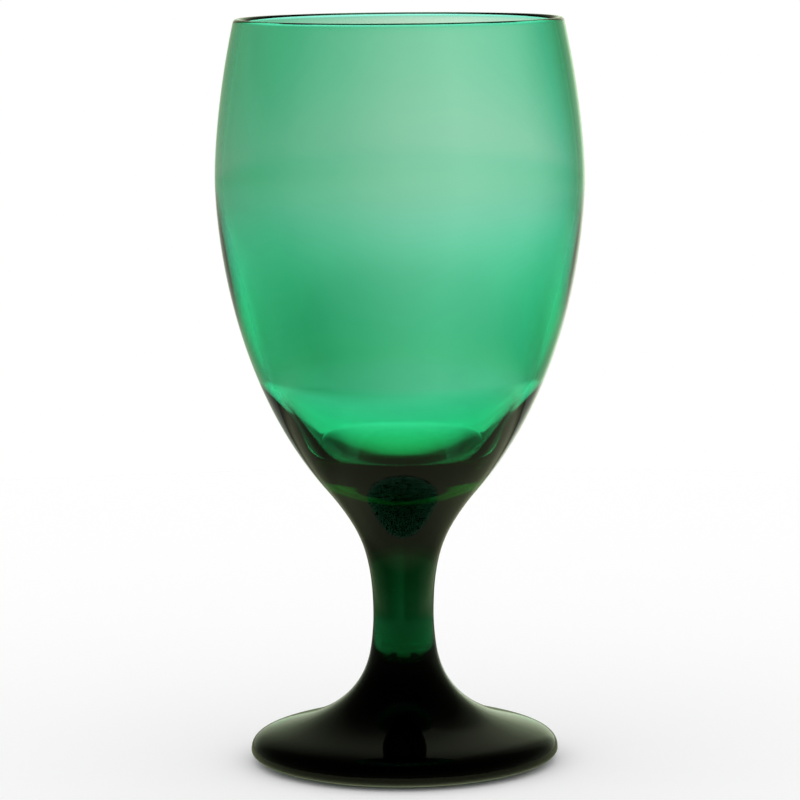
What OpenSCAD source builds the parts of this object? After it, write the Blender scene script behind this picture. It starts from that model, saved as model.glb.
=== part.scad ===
// Water goblet in green glass: a blown bowl, a solid stem that swells out to carry it, and a
// cast foot. The three gathers are fused to each other while hot, at two flat round seams.
// Origin: centre of the foot, on the table. +Z is up, and every piece is turned about it.

/* [Foot] */
// Widest diameter of the foot
foot_diameter = 76.4; // [70:0.2:84]
// Height of the foot's widest place above the table
foot_edge_height = 2.7; // [2:0.1:4]
// Height of the whole foot, from the table to its seam with the stem
foot_height = 28; // [24:0.5:34]
// Diameter where the flat top of the foot starts to sweep up to the stem
foot_shoulder_diameter = 49.7; // [42:0.1:56]
// Height of the foot's top at that place
foot_shoulder_height = 10; // [8:0.1:12]
// Lean of the foot's top there, in degrees from straight up
foot_shoulder_lean = 71; // [64:1:76]
// Outside diameter of the flat ring that the foot rests on
rest_diameter = 67.8; // [63:0.1:69]
// Width of that ring
rest_width = 3; // [1.5:0.1:6]
// Depth of the hollow under the foot, at its centre
hollow_depth = 2; // [1:0.1:4]

/* [Stem] */
// Length of the stem, from its seam with the foot to its seam with the bowl
stem_length = 39.5; // [34:0.5:56]
// Diameter of the stem at its waist, the narrowest place
waist_diameter = 15; // [11:0.1:16]
// Height of the waist above the stem's lower seam
waist_height = 8.5; // [6:0.1:12]
// Diameter of the seam between the stem and the foot
foot_seam_diameter = 16.4; // [16.2:0.1:19]
// How far the side leans in towards the waist at that seam, in degrees
foot_seam_lean = 9; // [4:1:14]
// Height over which the top of the stem swells out to the bowl
swell_height = 12.5; // [10:0.1:15]
// Diameter of the stem where that swell starts
swell_diameter = 20.7; // [18:0.1:24]
// How far the side leans out there, in degrees
swell_lean = 22; // [16:1:28]
// Diameter of the seam between the stem and the bowl
bowl_seam_diameter = 37; // [33:0.1:42]
// How far the side leans out at that seam, its flattest place, in degrees
bowl_seam_lean = 41; // [36:1:46]

/* [Bowl] */
// Height of the bowl, from its seam with the stem to the top of the lip
bowl_height = 116.5; // [106:0.5:132]
// Widest outside diameter of the bowl
belly_diameter = 90.7; // [84:0.1:98]
// Height of the widest place above the bowl's seam
belly_height = 77.5; // [68:0.5:86]
// Outside diameter across the lip
lip_diameter = 81; // [76:0.5:86]
// Thickness of the rounded lip
lip_thickness = 2.1; // [1.4:0.1:3]
// How far the side leans in at the lip, in degrees
lip_lean = 12.5; // [6:0.5:18]
// Thickness of the wall at the widest place
belly_wall = 1.5; // [1.1:0.1:2.2]
// Thickness of the wall at its lower end, above the thick bottom
low_wall = 2.7; // [2.1:0.1:3.4]
// Lean of the inside there, in degrees from straight up
low_wall_lean = 17; // [14:1:20]
// Thickness at the heel, where the inside turns in towards the bottom
heel_wall = 4.7; // [4:0.1:5.4]
// Lean of the inside at the heel, in degrees
heel_lean = 57; // [53:1:61]
// Thickness of the bowl's glass under the middle of the inside, above the seam
bottom_thickness = 2.1; // [1.5:0.1:3]

/* [Hidden] */
$fn = 96;
glass_color = [0.06, 0.38, 0.20];

// Reach of each curve's two handles, as shares of the distance between the curve's ends
foot_edge_shares = [0.12, 0.36];
foot_top_shares = [0.29, 0.55];
foot_sweep_shares = [0.45, 0.33];
stem_low_shares = [0.30, 0.30];
stem_high_shares = [0.38, 0.29];
stem_swell_shares = [0.385, 0.17];
underside_shares = [0.453, 0.12];
side_shares = [0.165, 0.46];
inner_side_shares = [0.46, 0.165];
inner_wall_shares = [0.33, 0.23];
inner_heel_shares = [0.30, 0.055];
inner_bottom_shares = [0.59, 0.13];

// How far along the underside's curve the inside has its two lower thicknesses
low_wall_share = 0.318;
heel_share = 0.088;

// Number of straight steps in each curve
short_steps = 8;
middle_steps = 14;
long_steps = 24;

// Heights of the seams above the table
foot_seam_z = foot_height;
bowl_seam_z = foot_seam_z + stem_length;

// Unit step in the direction that leans outwards from straight up by an angle
function heading(lean) = [sin(lean), cos(lean)];

// Ends and handles of a curve that sets out from a along one lean and reaches b along another
function handles(a, lean_a, b, lean_b, shares) =
    let (span = norm(b - a))
    [a, a + heading(lean_a) * span * shares[0], b - heading(lean_b) * span * shares[1], b];

// Point at share t of the way along a curve, given by its ends and handles
function point_on(h, t) =
    h[0] * pow(1 - t, 3) + h[1] * 3 * pow(1 - t, 2) * t + h[2] * 3 * (1 - t) * pow(t, 2) + h[3] * pow(t, 3);

// Point at a distance from that one, square to the curve, on its left
function point_beside(h, t, distance) =
    let (run = (h[1] - h[0]) * pow(1 - t, 2) + (h[2] - h[1]) * 2 * (1 - t) * t + (h[3] - h[2]) * pow(t, 2))
    point_on(h, t) + [-run[1], run[0]] * distance / norm(run);

// Points along such a curve
function curve(a, lean_a, b, lean_b, shares, steps) =
    let (h = handles(a, lean_a, b, lean_b, shares))
    [for (i = [0 : steps]) point_on(h, i / steps)];

// Arc about a centre, from one angle to another
function arc(centre, radius, from, to, steps) =
    [for (i = [0 : steps])
        let (angle = from + (to - from) * i / steps)
        centre + radius * [cos(angle), sin(angle)]];

// Places that the foot's outline passes through, as radius and height
rest_edge = [rest_diameter / 2, 0];
rest_inner = [rest_diameter / 2 - rest_width, 0];
foot_edge = [foot_diameter / 2, foot_edge_height];
foot_shoulder = [foot_shoulder_diameter / 2, foot_shoulder_height];
foot_seam = [foot_seam_diameter / 2, foot_seam_z];
rest_lean = 70;

// Radius of the ball whose cap is the hollow under the foot, and half the angle of that cap
hollow_radius = (pow(rest_inner[0], 2) + pow(hollow_depth, 2)) / (2 * hollow_depth);
hollow_half_angle = asin(rest_inner[0] / hollow_radius);
hollow_centre = [0, hollow_depth - hollow_radius];

// Places that the stem's outline passes through
waist = [waist_diameter / 2, foot_seam_z + waist_height];
swell_start = [swell_diameter / 2, bowl_seam_z - swell_height];
bowl_seam = [bowl_seam_diameter / 2, bowl_seam_z];

// Places that the bowl's outline passes through
belly = [belly_diameter / 2, bowl_seam_z + belly_height];
lip_radius = lip_thickness / 2;
lip_centre = [lip_diameter / 2 - lip_radius, bowl_seam_z + bowl_height - lip_radius];
lip_outside = lip_centre + lip_radius * [cos(lip_lean), sin(lip_lean)];
lip_inside = lip_centre - lip_radius * [cos(lip_lean), sin(lip_lean)];
belly_inside = belly - [belly_wall, 0];
underside_handles = handles(bowl_seam, bowl_seam_lean, belly, 0, underside_shares);
low_wall_inside = point_beside(underside_handles, low_wall_share, low_wall);
heel = point_beside(underside_handles, heel_share, heel_wall);
inside_bottom = [0, bowl_seam_z + bottom_thickness];

// Cast foot: a rounded edge, a top that sweeps up to the stem, and a shallow hollow below
module foot() {
    edge = curve(rest_edge, rest_lean, foot_edge, 0, foot_edge_shares, short_steps);
    top = curve(foot_edge, 0, foot_shoulder, -foot_shoulder_lean, foot_top_shares, short_steps);
    sweep = curve(foot_shoulder, -foot_shoulder_lean, foot_seam, -foot_seam_lean,
        foot_sweep_shares, middle_steps);
    hollow = arc(hollow_centre, hollow_radius, 90, 90 - hollow_half_angle, middle_steps);
    color(glass_color)
    rotate_extrude()
    polygon(concat(
        [[0, foot_seam_z]],
        hollow,
        edge,
        [for (i = [1 : len(top) - 1]) top[i]],
        [for (i = [1 : len(sweep) - 1]) sweep[i]]
    ));
}

// Solid stem: a waisted rod with a flat seam at each end, swelling out under the bowl
module stem() {
    low = curve(foot_seam, -foot_seam_lean, waist, 0, stem_low_shares, short_steps);
    high = curve(waist, 0, swell_start, swell_lean, stem_high_shares, middle_steps);
    swell = curve(swell_start, swell_lean, bowl_seam, bowl_seam_lean, stem_swell_shares, short_steps);
    color(glass_color)
    rotate_extrude()
    polygon(concat(
        [[0, foot_seam_z]],
        low,
        [for (i = [1 : len(high) - 1]) high[i]],
        [for (i = [1 : len(swell) - 1]) swell[i]],
        [[0, bowl_seam_z]]
    ));
}

// Blown bowl: a thin wall that thickens downwards into the solid bottom, with a rounded lip
module bowl() {
    underside = curve(bowl_seam, bowl_seam_lean, belly, 0, underside_shares, long_steps);
    side = curve(belly, 0, lip_outside, -lip_lean, side_shares, middle_steps);
    lip = arc(lip_centre, lip_radius, lip_lean, lip_lean + 180, middle_steps);
    inner_side = curve(lip_inside, 180 - lip_lean, belly_inside, 180, inner_side_shares, middle_steps);
    inner_wall = curve(belly_inside, 180, low_wall_inside, 180 + low_wall_lean,
        inner_wall_shares, middle_steps);
    inner_heel = curve(low_wall_inside, 180 + low_wall_lean, heel, 180 + heel_lean,
        inner_heel_shares, middle_steps);
    inner_bottom = curve(heel, 180 + heel_lean, inside_bottom, 270, inner_bottom_shares, middle_steps);
    color(glass_color)
    rotate_extrude()
    polygon(concat(
        [[0, bowl_seam_z]],
        underside,
        [for (i = [1 : len(side) - 2]) side[i]],
        lip,
        [for (i = [1 : len(inner_side) - 1]) inner_side[i]],
        [for (i = [1 : len(inner_wall) - 1]) inner_wall[i]],
        [for (i = [1 : len(inner_heel) - 1]) inner_heel[i]],
        [for (i = [1 : len(inner_bottom) - 1]) inner_bottom[i]]
    ));
}

bowl();
stem();
foot();
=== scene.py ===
import math

import bpy
from mathutils import Euler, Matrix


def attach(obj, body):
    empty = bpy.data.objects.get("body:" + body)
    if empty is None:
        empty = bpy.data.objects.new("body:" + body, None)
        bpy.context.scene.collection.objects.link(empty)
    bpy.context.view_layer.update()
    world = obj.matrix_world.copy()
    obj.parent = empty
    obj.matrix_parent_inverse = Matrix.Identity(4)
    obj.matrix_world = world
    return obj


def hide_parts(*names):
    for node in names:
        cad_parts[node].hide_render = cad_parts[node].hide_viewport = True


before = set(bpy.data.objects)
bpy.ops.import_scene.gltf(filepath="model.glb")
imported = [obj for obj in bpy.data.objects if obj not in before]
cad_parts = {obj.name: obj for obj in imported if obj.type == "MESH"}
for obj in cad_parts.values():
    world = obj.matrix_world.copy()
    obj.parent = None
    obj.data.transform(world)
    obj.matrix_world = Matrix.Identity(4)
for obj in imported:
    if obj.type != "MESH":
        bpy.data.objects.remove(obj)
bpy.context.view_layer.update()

milli = 0.001
scene = bpy.context.scene
collection = scene.collection


def heading(lean):
    # unit step that leans outwards from straight up
    return math.sin(math.radians(lean)), math.cos(math.radians(lean))


def bend(start, startLean, end, endLean, shares):
    # one curved stretch: its two ends and its two handles, as radius and height
    span = math.hypot(end[0] - start[0], end[1] - start[1])
    outX, outZ = heading(startLean)
    inX, inZ = heading(endLean)
    handleA = (start[0] + outX * span * shares[0], start[1] + outZ * span * shares[0])
    handleB = (end[0] - inX * span * shares[1], end[1] - inZ * span * shares[1])
    return start, handleA, handleB, end


def beside(stretch, share, distance):
    # point square to a stretch, on its left, a share of the way along it
    rest = 1 - share
    weights = (rest ** 3, 3 * rest ** 2 * share, 3 * rest * share ** 2, share ** 3)
    x, z = [sum(weight * point[axis] for weight, point in zip(weights, stretch)) for axis in (0, 1)]
    pulls = (rest ** 2, 2 * rest * share, share ** 2)
    runX, runZ = [sum(pull * (after[axis] - before[axis])
                      for pull, before, after in zip(pulls, stretch, stretch[1:])) for axis in (0, 1)]
    length = math.hypot(runX, runZ)
    return x - runZ * distance / length, z + runX * distance / length


def straight(start, end):
    return start, None, None, end


def roundArc(centre, radius, fromAngle, toAngle, parts):
    # circular arc as a few curved stretches
    step = math.radians(toAngle - fromAngle) / parts
    reach = 4 / 3 * math.tan(step / 4) * radius
    stretches = []
    for part in range(parts):
        a = math.radians(fromAngle) + step * part
        b = a + step
        start = (centre[0] + radius * math.cos(a), centre[1] + radius * math.sin(a))
        end = (centre[0] + radius * math.cos(b), centre[1] + radius * math.sin(b))
        handleA = (start[0] - reach * math.sin(a), start[1] + reach * math.cos(a))
        handleB = (end[0] + reach * math.sin(b), end[1] - reach * math.cos(b))
        stretches.append((start, handleA, handleB, end))
    return stretches


def outlineCurve(name, stretches, steps):
    # the stretches joined into one Bezier curve in the XZ plane
    curve = bpy.data.curves.new(name, "CURVE")
    curve.dimensions = "3D"
    curve.resolution_u = steps
    spline = curve.splines.new("BEZIER")
    spline.bezier_points.add(len(stretches))
    knots = [stretches[0][0]] + [stretch[3] for stretch in stretches]
    for point, knot in zip(spline.bezier_points, knots):
        point.co = (knot[0] * milli, 0, knot[1] * milli)
        point.handle_left_type = point.handle_right_type = "FREE"
        point.handle_left = point.handle_right = point.co
    for index, (start, handleA, handleB, end) in enumerate(stretches):
        left = spline.bezier_points[index]
        right = spline.bezier_points[index + 1]
        if handleA is None:
            left.handle_right_type = right.handle_left_type = "VECTOR"
            continue
        left.handle_right = (handleA[0] * milli, 0, handleA[1] * milli)
        right.handle_left = (handleB[0] * milli, 0, handleB[1] * milli)
    outline = bpy.data.objects.new(name, curve)
    collection.objects.link(outline)
    return outline


def link(tree, source, target):
    tree.links.new(source, target)


def mathNode(tree, operation, first, second=None):
    node = tree.nodes.new("ShaderNodeMath")
    node.operation = operation
    for socket, value in zip(node.inputs, (first, second)):
        if value is None:
            continue
        if isinstance(value, (int, float)):
            socket.default_value = value
        else:
            link(tree, value, socket)
    return node.outputs[0]


turning = {
    "weld": 0.002,       # points closer than this become one, at the axis and where a turn closes
    "cornerAngle": 25,   # edges that bend more than this stay sharp
    "seamReach": 0.03,   # a face of a fused seam is no further than this from the seam's height
    "seamLevel": 0.999,  # and its normal is at least this upright
}


def turningTree():
    # outline curve in, closed turned body out
    tree = bpy.data.node_groups.new("turned body", "GeometryNodeTree")
    face = tree.interface
    face.new_socket("Outline", in_out="INPUT", socket_type="NodeSocketGeometry")
    face.new_socket("Columns", in_out="INPUT", socket_type="NodeSocketInt")
    face.new_socket("Lower Seam", in_out="INPUT", socket_type="NodeSocketFloat")
    face.new_socket("Upper Seam", in_out="INPUT", socket_type="NodeSocketFloat")
    face.new_socket("Glass", in_out="INPUT", socket_type="NodeSocketMaterial")
    face.new_socket("Body", in_out="OUTPUT", socket_type="NodeSocketGeometry")
    group = tree.nodes.new("NodeGroupInput").outputs
    rings = tree.nodes.new("GeometryNodeResampleCurve")
    rings.mode = "EVALUATED"
    link(tree, group["Outline"], rings.inputs["Curve"])
    outline = rings.outputs["Curve"]

    size = tree.nodes.new("GeometryNodeAttributeDomainSize")
    size.component = "CURVE"
    link(tree, outline, size.inputs["Geometry"])
    columnCount = mathNode(tree, "ADD", group["Columns"], 1)
    grid = tree.nodes.new("GeometryNodeMeshGrid")
    link(tree, size.outputs["Point Count"], grid.inputs["Vertices X"])
    link(tree, columnCount, grid.inputs["Vertices Y"])

    # each grid row takes one point of the outline, each column one angle round the axis,
    # clockwise from above, so that the faces look outwards
    index = tree.nodes.new("GeometryNodeInputIndex").outputs[0]
    row = mathNode(tree, "DIVIDE", mathNode(tree, "ADD", index, 0.5), columnCount)
    row = mathNode(tree, "FLOOR", row)
    column = mathNode(tree, "SUBTRACT", index, mathNode(tree, "MULTIPLY", row, columnCount))
    angle = mathNode(tree, "DIVIDE", mathNode(tree, "MULTIPLY", column, -math.tau), group["Columns"])
    place = tree.nodes.new("GeometryNodeInputPosition").outputs[0]
    sample = tree.nodes.new("GeometryNodeSampleIndex")
    sample.data_type = "FLOAT_VECTOR"
    sample.domain = "POINT"
    link(tree, outline, sample.inputs["Geometry"])
    link(tree, place, sample.inputs["Value"])
    link(tree, row, sample.inputs["Index"])
    split = tree.nodes.new("ShaderNodeSeparateXYZ")
    link(tree, sample.outputs["Value"], split.inputs[0])
    radius = split.outputs["X"]
    turned = tree.nodes.new("ShaderNodeCombineXYZ")
    link(tree, mathNode(tree, "MULTIPLY", radius, mathNode(tree, "COSINE", angle)), turned.inputs["X"])
    link(tree, mathNode(tree, "MULTIPLY", radius, mathNode(tree, "SINE", angle)), turned.inputs["Y"])
    link(tree, split.outputs["Z"], turned.inputs["Z"])
    wrap = tree.nodes.new("GeometryNodeSetPosition")
    link(tree, grid.outputs["Mesh"], wrap.inputs["Geometry"])
    link(tree, turned.outputs[0], wrap.inputs["Position"])
    weld = tree.nodes.new("GeometryNodeMergeByDistance")
    weld.inputs["Distance"].default_value = turning["weld"] * milli
    link(tree, wrap.outputs["Geometry"], weld.inputs["Geometry"])

    # sharp only where the outline has a corner
    edgeAngle = tree.nodes.new("GeometryNodeInputMeshEdgeAngle").outputs["Unsigned Angle"]
    corner = mathNode(tree, "GREATER_THAN", edgeAngle, math.radians(turning["cornerAngle"]))
    smooth = tree.nodes.new("GeometryNodeSetShadeSmooth")
    smooth.domain = "FACE"
    link(tree, weld.outputs["Geometry"], smooth.inputs["Geometry"])
    crisp = tree.nodes.new("GeometryNodeSetShadeSmooth")
    crisp.domain = "EDGE"
    link(tree, smooth.outputs["Geometry"], crisp.inputs["Geometry"])
    link(tree, corner, crisp.inputs["Selection"])
    crisp.inputs["Shade Smooth"].default_value = False

    # faces of a fused seam are marked, so that light passes them without bending
    normal = tree.nodes.new("ShaderNodeSeparateXYZ")
    link(tree, tree.nodes.new("GeometryNodeInputNormal").outputs[0], normal.inputs[0])
    height = tree.nodes.new("ShaderNodeSeparateXYZ")
    link(tree, place, height.inputs[0])
    near = []
    for name in ("Lower Seam", "Upper Seam"):
        offset = mathNode(tree, "SUBTRACT", height.outputs["Z"], group[name])
        offset = mathNode(tree, "ABSOLUTE", offset)
        near.append(mathNode(tree, "LESS_THAN", offset, turning["seamReach"] * milli))
    upright = mathNode(tree, "ABSOLUTE", normal.outputs["Z"])
    level = mathNode(tree, "GREATER_THAN", upright, turning["seamLevel"])
    seam = mathNode(tree, "MULTIPLY", level, mathNode(tree, "MAXIMUM", near[0], near[1]))
    mark = tree.nodes.new("GeometryNodeStoreNamedAttribute")
    mark.data_type = "FLOAT"
    mark.domain = "FACE"
    mark.inputs["Name"].default_value = "seam"
    link(tree, crisp.outputs["Geometry"], mark.inputs["Geometry"])
    link(tree, seam, mark.inputs["Value"])

    whole = tree.nodes.new("GeometryNodeRealizeInstances")
    link(tree, mark.outputs["Geometry"], whole.inputs["Geometry"])
    dress = tree.nodes.new("GeometryNodeSetMaterial")
    link(tree, whole.outputs["Geometry"], dress.inputs["Geometry"])
    link(tree, group["Glass"], dress.inputs["Material"])
    link(tree, dress.outputs["Geometry"], tree.nodes.new("NodeGroupOutput").inputs["Body"])
    return tree


def turnPiece(name, outline, tree, settings):
    # runs the tree on the outline and keeps the result as a plain mesh
    modifier = outline.modifiers.new("turning", "NODES")
    modifier.node_group = tree
    identifiers = {item.name: item.identifier
                   for item in tree.interface.items_tree if item.in_out == "INPUT"}
    for socket, value in settings.items():
        modifier[identifiers[socket]] = value
    depsgraph = bpy.context.evaluated_depsgraph_get()
    mesh = bpy.data.meshes.new_from_object(outline.evaluated_get(depsgraph), depsgraph=depsgraph)
    outline.modifiers.remove(modifier)
    bpy.data.objects.remove(outline)
    mesh.name = name
    piece = bpy.data.objects.new(name, mesh)
    collection.objects.link(piece)
    return piece


glassLook = {
    # how much red, green and blue are absorbed in each millimetre; stem and foot are the same glass as
    # the bowl, and their higher numbers are painted shade that darkens them
    "bowl": (0.40, 0.065, 0.178),
    "stem": (0.41, 0.206, 0.300),
    "foot": (0.41, 0.214, 0.306),
    "bending": 1.5,
    # faint film of handling on a fire-polished skin: size and detail of its patches, the part
    # of the noise that shows, and the roughness where it is thickest
    "filmScale": 38, "filmDetail": 3, "filmFrom": 0.45, "filmTo": 0.75, "filmRoughness": 0.03,
}


def glassMaterial(name, tint):
    material = bpy.data.materials.new(name)
    material.use_nodes = True
    tree = material.node_tree
    tree.nodes.clear()
    output = tree.nodes.new("ShaderNodeOutputMaterial")
    surface = tree.nodes.new("ShaderNodeBsdfPrincipled")
    surface.inputs["Base Color"].default_value = (1, 1, 1, 1)
    surface.inputs["Transmission Weight"].default_value = 1
    link(tree, surface.outputs[0], output.inputs["Surface"])

    # light goes straight on where two pieces are fused
    seam = tree.nodes.new("ShaderNodeAttribute")
    seam.attribute_name = "seam"
    bending = tree.nodes.new("ShaderNodeMapRange")
    bending.inputs["To Min"].default_value = glassLook["bending"]
    bending.inputs["To Max"].default_value = 1
    link(tree, seam.outputs["Fac"], bending.inputs["Value"])
    link(tree, bending.outputs["Result"], surface.inputs["IOR"])

    film = tree.nodes.new("ShaderNodeTexNoise")
    film.inputs["Scale"].default_value = glassLook["filmScale"]
    film.inputs["Detail"].default_value = glassLook["filmDetail"]
    link(tree, tree.nodes.new("ShaderNodeTexCoord").outputs["Object"], film.inputs["Vector"])
    polish = tree.nodes.new("ShaderNodeMapRange")
    polish.inputs["From Min"].default_value = glassLook["filmFrom"]
    polish.inputs["From Max"].default_value = glassLook["filmTo"]
    polish.inputs["To Min"].default_value = 0
    polish.inputs["To Max"].default_value = glassLook["filmRoughness"]
    link(tree, film.outputs["Fac"], polish.inputs["Value"])
    link(tree, polish.outputs["Result"], surface.inputs["Roughness"])

    inside = tree.nodes.new("ShaderNodeVolumeAbsorption")
    headroom = 1.25  # keeps every channel of the absorption colour above black
    density = max(tint) / milli * headroom
    inside.inputs["Color"].default_value = (*[1 - part / milli / density for part in tint], 1)
    inside.inputs["Density"].default_value = density
    link(tree, inside.outputs[0], output.inputs["Volume"])
    return material


# the two flat seams, named for the piece that the stem is fused to there
seams = {
    "footRadius": 8.2, "footHeight": 28.0, "footLean": 9,
    "bowlRadius": 18.5, "bowlHeight": 67.5, "bowlLean": 41,
    "clearance": 0.01,  # each face stands back by this, so that each body stays closed
}
skin = seams["clearance"]

foot = {
    "rim": (38.2, 2.7), "shoulder": (24.85, 10.0), "shoulderLean": 71,
    "restOuter": 33.9, "restInner": 30.9, "restLean": 70, "hollow": 2.0,
    "edgeShares": (0.12, 0.36), "topShares": (0.29, 0.55), "sweepShares": (0.45, 0.33),
}


def footOutline():
    shoulder = foot["shoulder"]
    rest = (foot["restOuter"], 0)
    top = seams["footHeight"] - skin
    seam = (seams["footRadius"], top)
    inner = foot["restInner"]
    ball = (inner ** 2 + foot["hollow"] ** 2) / (2 * foot["hollow"])
    halfAngle = math.degrees(math.asin(inner / ball))
    return [
        *roundArc((0, foot["hollow"] - ball), ball, 90, 90 - halfAngle, 1),
        straight((inner, 0), rest),
        bend(rest, foot["restLean"], foot["rim"], 0, foot["edgeShares"]),
        bend(foot["rim"], 0, shoulder, -foot["shoulderLean"], foot["topShares"]),
        bend(shoulder, -foot["shoulderLean"], seam, -seams["footLean"], foot["sweepShares"]),
        straight(seam, (0, top)),
    ]


stem = {
    "waist": (7.5, 36.5), "swell": (10.35, 55.0), "swellLean": 22,
    "lowShares": (0.30, 0.30), "highShares": (0.38, 0.29), "swellShares": (0.385, 0.17),
}


def stemOutline():
    low = seams["footHeight"] + skin
    high = seams["bowlHeight"] - skin
    seam = (seams["footRadius"], low)
    top = (seams["bowlRadius"] - skin * math.tan(math.radians(seams["bowlLean"])), high)
    return [
        straight((0, low), seam),
        bend(seam, -seams["footLean"], stem["waist"], 0, stem["lowShares"]),
        bend(stem["waist"], 0, stem["swell"], stem["swellLean"], stem["highShares"]),
        bend(stem["swell"], stem["swellLean"], top, seams["bowlLean"], stem["swellShares"]),
        straight(top, (0, high)),
    ]


bowl = {
    "belly": (45.35, 145.0), "bellyWall": 1.5,
    "lipRadius": 40.5, "lipHeight": 184.0, "lipThickness": 2.1, "lipLean": 12.5,
    # share of the way along the underside, thickness there, lean of the inside
    "lowWall": (0.318, 2.7, 17), "heel": (0.088, 4.7, 57), "bottomHeight": 69.6,
    "undersideShares": (0.453, 0.12), "sideShares": (0.165, 0.46),
    "innerSideShares": (0.46, 0.165), "innerWallShares": (0.33, 0.23),
    "innerHeelShares": (0.30, 0.055), "innerBottomShares": (0.59, 0.13),
}


def bowlOutline():
    low = seams["bowlHeight"] + skin
    seam = (seams["bowlRadius"] + skin * math.tan(math.radians(seams["bowlLean"])), low)
    belly = bowl["belly"]
    bellyInside = (belly[0] - bowl["bellyWall"], belly[1])
    lip = bowl["lipThickness"] / 2
    lean = bowl["lipLean"]
    centre = (bowl["lipRadius"] - lip, bowl["lipHeight"] - lip)
    lipArc = roundArc(centre, lip, lean, lean + 180, 2)
    lipOutside = lipArc[0][0]
    lipInside = lipArc[-1][3]
    underside = bend(seam, seams["bowlLean"], belly, 0, bowl["undersideShares"])
    share, thickness, lowLean = bowl["lowWall"]
    lowWall = beside(underside, share, thickness)
    share, thickness, heelLean = bowl["heel"]
    heel = beside(underside, share, thickness)
    bottom = (0, bowl["bottomHeight"])
    return [
        straight((0, low), seam),
        underside,
        bend(belly, 0, lipOutside, -lean, bowl["sideShares"]),
        *lipArc,
        bend(lipInside, 180 - lean, bellyInside, 180, bowl["innerSideShares"]),
        bend(bellyInside, 180, lowWall, 180 + lowLean, bowl["innerWallShares"]),
        bend(lowWall, 180 + lowLean, heel, 180 + heelLean, bowl["innerHeelShares"]),
        bend(heel, 180 + heelLean, bottom, 270, bowl["innerBottomShares"]),
    ]


turnedBody = turningTree()
pieces = (
    # piece, node, outline, steps in each stretch, columns round the axis
    ("blownBowl", "bowl", bowlOutline, 40, 288),
    ("solidStem", "stem", stemOutline, 24, 224),
    ("castFoot", "foot", footOutline, 28, 288),
)
for pieceName, node, makeOutline, steps, columns in pieces:
    settings = {
        "Columns": columns,
        "Lower Seam": (seams["footHeight"] + (skin if node == "stem" else -skin)) * milli,
        "Upper Seam": (seams["bowlHeight"] + (skin if node == "bowl" else -skin)) * milli,
        "Glass": glassMaterial(node + " glass", glassLook[node]),
    }
    outline = outlineCurve(pieceName + "Outline", makeOutline(), steps)
    piece = turnPiece(pieceName, outline, turnedBody, settings)
    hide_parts(node)
    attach(piece, "root")
    print(pieceName, "turned,", len(piece.data.polygons), "faces")


# Surroundings, which clear glass is seen by: a bright ground in front of an even wall, and
# dark above and to the sides. The first number of a stop is an elevation, an azimuth to the
# right of straight behind, or a distance from the goblet's axis.
room = {
    # what shows through the glass
    "heightsThrough": (
        (-90, 1.0), (-62, 1.0), (-56, 0.02), (-36, 0.02), (-33.4, 0.13), (-32.4, 0.48),
        (-31, (0.58, 0.80, 0.78)), (-29, (0.80, 1.12, 1.10)), (-27, (0.95, 1.27, 1.28)),
        (-24, (0.90, 1.36, 1.32)), (-22.6, (0.75, 1.20, 1.14)), (-21, (0.72, 1.30, 1.24)),
        (-18.5, (0.64, 1.08, 1.03)), (-15, (0.68, 0.94, 0.91)), (-11, (0.80, 0.84, 0.80)),
        (-8, (0.84, 0.78, 0.76)), (-5, (0.78, 0.77, 0.69)), (-3.7, (0.76, 0.76, 0.67)),
        (-2.5, (0.82, 0.76, 0.70)), (-2.0, (1.22, 0.79, 0.79)), (8, (1.20, 0.90, 0.90)),
        (10, 0.50), (14, 0.4), (18, 0.15), (30, 0.06), (90, 0.06)),
    # its tint from left to right, and how much of that applies at each elevation
    "throughSweep": 40,
    "sidesThrough": (
        (-20, (0.8, 0.68, 0.68)), (-12, (0.65, 0.70, 0.63)), (-9.5, (0.58, 0.70, 0.64)),
        (-6.5, (0.46, 0.69, 0.60)), (-4.5, (0.38, 0.71, 0.58)), (-3.3, (0.42, 0.73, 0.62)),
        (-1.4, (0.66, 0.86, 0.79)), (0, (1.0, 1.0, 1.0)), (1.4, (1.20, 1.13, 1.17)),
        (4, (1.06, 1.10, 1.14)), (6, (0.78, 0.99, 0.99)), (8.4, (0.5, 0.91, 0.90)),
        (12, (0.4, 0.77, 0.70)), (20, (0.3, 0.55, 0.45))),
    "tintShare": (
        (-90, 0), (-15, 0), (-11, 0.9), (-8, 0.9), (-7, 0.85), (-5, 0.9), (-4, 1), (90, 1)),
    # the ground is darker at both sides, below the elevation where belowShare sets in; past
    # the azimuth belowFrom that sinks, by belowLift for each radian, and deepShare keeps
    # the ground straight down bright all round
    "belowSweep": 80,
    "sidesBelow": (
        (-40, 0.16), (-9.4, 0.16), (-8.4, 1.0), (0, 1), (8.4, 1.0), (9.4, 0.16), (40, 0.16)),
    "belowShare": ((-90, 1), (-27.3, 1), (-26.4, 0), (90, 0)),
    "belowFrom": 14.2,
    "belowLift": 0.3,
    "deepShare": ((-90, 0), (-58, 0), (-52, 1), (90, 1)),
    # what its skin mirrors
    "heightsMirrored": (
        (-90, 0.9), (0, (0.95, 1.1, 0.8)), (8, (0.77, 0.9, 0.62)), (15, (0.47, 0.56, 0.37)),
        (25, (0.26, 0.30, 0.20)), (35, (0.18, 0.20, 0.14)), (50, (0.09, 0.10, 0.07)),
        (90, (0.06, 0.07, 0.05))),
    "sidesMirrored": (
        (-180, 0.03), (-130, 0.03), (-100, 0.04), (-60, 0.06), (-35, 0.12), (-15, 0.4),
        (0, 0.85), (15, 1.0), (22, 0.5), (40, 0.16), (60, 0.12), (85, 0.08), (100, 0.06),
        (130, 0.04), (180, 0.03)),
}
white = (1.0, 1.0, 1.0)
fullTurn = 360


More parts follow.
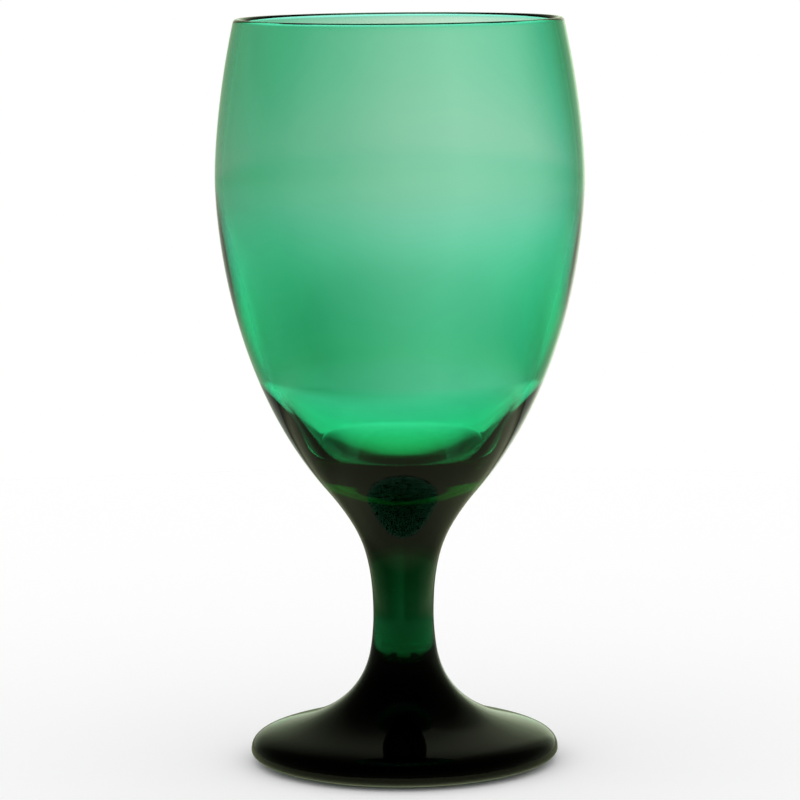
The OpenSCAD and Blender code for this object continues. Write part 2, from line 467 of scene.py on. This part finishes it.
def rampNode(tree, source, stops):
    ramp = tree.nodes.new("ShaderNodeValToRGB")
    link(tree, source, ramp.inputs["Fac"])
    points = ramp.color_ramp.elements
    while len(points) < len(stops):
        points.new(0.5)
    for point, (position, color) in zip(points, stops):
        point.position = position
        point.color = (*color, 1) if isinstance(color, tuple) else (color, color, color, 1)
    return ramp.outputs["Color"]


def heightRamp(tree, rise, stops):
    # rise is 0 straight down and 1 straight up
    return rampNode(tree, rise, [((math.sin(math.radians(elevation)) + 1) / 2, color)
                                 for elevation, color in stops])


def turnRamp(tree, azimuth, sweep, stops):
    # the stops lie within a sweep of so many degrees, with straight behind at its middle
    share = mathNode(tree, "DIVIDE", azimuth, math.radians(sweep))
    share = mathNode(tree, "ADD", share, 0.5)
    return rampNode(tree, share, [(turn / sweep + 0.5, color) for turn, color in stops])


def mixShader(tree, factor, first, second):
    mix = tree.nodes.new("ShaderNodeMixShader")
    link(tree, factor, mix.inputs["Fac"])
    link(tree, first, mix.inputs[1])
    link(tree, second, mix.inputs[2])
    return mix.outputs[0]


def multiply(tree, first, second):
    mix = tree.nodes.new("ShaderNodeMix")
    mix.data_type = "RGBA"
    mix.blend_type = "MULTIPLY"
    mix.inputs[0].default_value = 1
    link(tree, first, mix.inputs[6])
    link(tree, second, mix.inputs[7])
    return mix.outputs[2]


def fromWhite(tree, share, color):
    # white where the share is 0, the colour where it is 1
    mix = tree.nodes.new("ShaderNodeMix")
    mix.data_type = "RGBA"
    mix.inputs[6].default_value = (*white, 1)
    link(tree, share, mix.inputs[0])
    link(tree, color, mix.inputs[7])
    return mix.outputs[2]


def colorNode(tree, kind, color):
    node = tree.nodes.new(kind)
    if isinstance(color, tuple):
        node.inputs["Color"].default_value = (*color, 1)
    else:
        link(tree, color, node.inputs["Color"])
    return node.outputs[0]


def makeRoom():
    world = bpy.data.worlds.new("room")
    scene.world = world
    world.use_nodes = True
    tree = world.node_tree
    tree.nodes.clear()
    direction = tree.nodes.new("ShaderNodeSeparateXYZ")
    link(tree, tree.nodes.new("ShaderNodeTexCoord").outputs["Generated"], direction.inputs[0])
    rise = mathNode(tree, "MULTIPLY", mathNode(tree, "ADD", direction.outputs["Z"], 1), 0.5)
    azimuth = mathNode(tree, "ARCTAN2", direction.outputs["X"], direction.outputs["Y"])

    tint = fromWhite(tree, heightRamp(tree, rise, room["tintShare"]),
                     turnRamp(tree, azimuth, room["throughSweep"], room["sidesThrough"]))
    beyond = mathNode(tree, "ABSOLUTE", azimuth)
    beyond = mathNode(tree, "SUBTRACT", beyond, math.radians(room["belowFrom"]))
    lift = mathNode(tree, "MULTIPLY", mathNode(tree, "MAXIMUM", beyond, 0), room["belowLift"])
    share = mathNode(tree, "MULTIPLY", heightRamp(tree, rise, room["deepShare"]),
                     heightRamp(tree, mathNode(tree, "ADD", rise, lift), room["belowShare"]))
    below = fromWhite(tree, share, turnRamp(tree, azimuth, room["belowSweep"], room["sidesBelow"]))
    through = multiply(tree, heightRamp(tree, rise, room["heightsThrough"]),
                       multiply(tree, tint, below))
    mirrored = multiply(tree, heightRamp(tree, rise, room["heightsMirrored"]),
                        turnRamp(tree, azimuth, fullTurn, room["sidesMirrored"]))

    # plain white for the camera and for matt surfaces
    light = tree.nodes.new("ShaderNodeLightPath").outputs
    glassy = mixShader(tree, light["Is Transmission Ray"],
                       colorNode(tree, "ShaderNodeBackground", mirrored),
                       colorNode(tree, "ShaderNodeBackground", through))
    seen = mixShader(tree, light["Is Glossy Ray"],
                     colorNode(tree, "ShaderNodeBackground", white), glassy)
    link(tree, seen, tree.nodes.new("ShaderNodeOutputWorld").inputs["Surface"])


table = {
    "radius": 500, "sides": 96, "drop": 0.3,
    # painted reflection: the glow that the goblet's skin mirrors of it, by distance, as far as the
    # edge, though the table is no lamp
    "mirrored": (
        (0, (0.20, 0.235, 0.135)), (100, (0.22, 0.25, 0.15)), (130, (0.28, 0.31, 0.19)),
        (150, (0.40, 0.44, 0.28)), (178, (0.52, 0.57, 0.37)), (200, (0.25, 0.27, 0.17)),
        (225, (0.06, 0.06, 0.04)), (240, (0.03, 0.03, 0.03))),
    "edge": 225,
    # painted shade of that glow from side to side, and how much of that applies at each distance
    "sidesMirrored": (
        (-180, 0.03), (-130, 0.05), (-100, 0.25), (-60, 0.55), (0, 0.85), (60, 1.0),
        (100, 0.5), (130, 0.08), (180, 0.03)),
    "sidesShare": ((0, 0), (65, 0), (95, 1), (500, 1)),
}


def distanceRamp(tree, share, stops):
    # share is 0 on the axis and 1 at the table's rim
    return rampNode(tree, share, [(distance / table["radius"], color) for distance, color in stops])


def makeTable():
    reach = table["radius"] * milli
    rim = [math.tau * side / table["sides"] for side in range(table["sides"])]
    corners = [(math.cos(turn) * reach, math.sin(turn) * reach, -table["drop"] * milli) for turn in rim]
    mesh = bpy.data.meshes.new("tableTop")
    mesh.from_pydata(corners, [], [tuple(range(table["sides"]))])
    top = bpy.data.objects.new("tableTop", mesh)
    collection.objects.link(top)
    material = bpy.data.materials.new("table top")
    material.use_nodes = True
    tree = material.node_tree
    tree.nodes.clear()
    place = tree.nodes.new("ShaderNodeTexCoord").outputs["Object"]
    distance = tree.nodes.new("ShaderNodeVectorMath")
    distance.operation = "LENGTH"
    link(tree, place, distance.inputs[0])
    share = mathNode(tree, "DIVIDE", distance.outputs["Value"], reach)
    across = tree.nodes.new("ShaderNodeSeparateXYZ")
    link(tree, place, across.inputs[0])
    azimuth = mathNode(tree, "ARCTAN2", across.outputs["X"], across.outputs["Y"])
    # painted reflection: the table's glow by distance, with painted shade from side to side
    sides = fromWhite(tree, distanceRamp(tree, share, table["sidesShare"]),
                      turnRamp(tree, azimuth, fullTurn, table["sidesMirrored"]))
    mirrored = multiply(tree, distanceRamp(tree, share, table["mirrored"]), sides)

    # matt white with the goblet's shadow for the camera, clear for light through the glass, and in the
    # glass's reflections a painted reflection that glows though the table is no lamp
    light = tree.nodes.new("ShaderNodeLightPath").outputs
    beyond = mathNode(tree, "GREATER_THAN", share, table["edge"] / table["radius"])
    clear = mathNode(tree, "MAXIMUM", beyond, light["Is Transmission Ray"])
    glassy = mixShader(tree, clear, colorNode(tree, "ShaderNodeEmission", mirrored),
                       colorNode(tree, "ShaderNodeBsdfTransparent", white))
    seen = mixShader(tree, light["Is Glossy Ray"],
                     colorNode(tree, "ShaderNodeBsdfDiffuse", white), glassy)
    link(tree, seen, tree.nodes.new("ShaderNodeOutputMaterial").inputs["Surface"])
    mesh.materials.append(material)


makeRoom()
makeTable()
print("room and table made")

view = {
    "place": (0, -990.0, 217.8), "nearest": 50,
    "down": 7.36, "roll": -0.49,
    "sensor": 36, "lens": 181.9, "shift": -0.0021,
}
camera = bpy.data.cameras.new("camera")
camera.sensor_width = view["sensor"]
camera.lens = view["lens"]
camera.clip_start = view["nearest"] * milli
camera.shift_x = view["shift"]
eye = bpy.data.objects.new("camera", camera)
eye.location = [part * milli for part in view["place"]]
tilt = Euler((math.radians(90 - view["down"]), 0, 0)).to_matrix()
roll = Euler((0, 0, math.radians(view["roll"]))).to_matrix()
eye.rotation_euler = (tilt @ roll).to_euler()
collection.objects.link(eye)
scene.camera = eye

scene.view_settings.view_transform = "Standard"
scene.cycles.max_bounces = 24
scene.cycles.transmission_bounces = 24
scene.cycles.glossy_bounces = 8
scene.cycles.transparent_max_bounces = 16

print("stage set")
